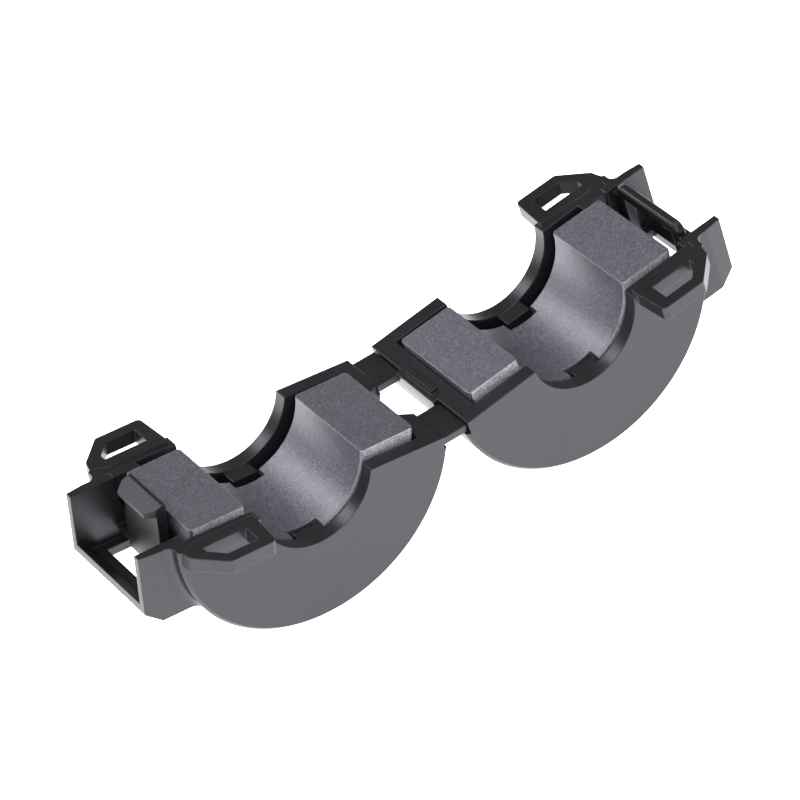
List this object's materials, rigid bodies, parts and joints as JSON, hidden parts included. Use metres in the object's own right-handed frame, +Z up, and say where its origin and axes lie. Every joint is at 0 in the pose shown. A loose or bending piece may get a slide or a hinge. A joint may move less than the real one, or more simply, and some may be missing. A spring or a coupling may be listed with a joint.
{
  "type": "clip-on ferrite bead",
  "caption": "Open clip-on ferrite bead: two hinged half-round plastic cases with split cores, a hook latch and cable-tie ears.",
  "frame": {"origin": "on the surface it lies on, midway between the two halves and between their end walls", "axes": "+Z up, +Y along the cable, +X from the hook half towards the bail half"},
  "size_m": [0.0694, 0.024, 0.0184],
  "materials": {
    "case": "satin black moulding",
    "core": "sintered ferrite, dark grey, fine grained"
  },
  "bodies": {
    "hook_half": {"hook_case_half": "case", "hook_side_core": "core"},
    "hinge_link": {"front_hinge_strap": "case", "rear_hinge_strap": "case"},
    "bail_half": {"bail_case_half": "case", "bail_side_core": "core"}
  },
  "joints": [
    {"name": "hook_side_fold", "type": "hinge", "parent": "hook_half", "child": "hinge_link", "pos_m": [-0.00145, 0, 0.01194], "axis": [0, -1, 0], "range_deg": [-6.8, 83.15]},
    {"name": "bail_side_fold", "type": "hinge", "parent": "hinge_link", "child": "bail_half", "pos_m": [0.00145, 0, 0.01194], "axis": [0, -1, 0], "range_deg": [-6.8, 83.15]}
  ],
  "couplings": [
    {"joint": "bail_side_fold", "follows": "hook_side_fold", "ratio": 1}
  ]
}
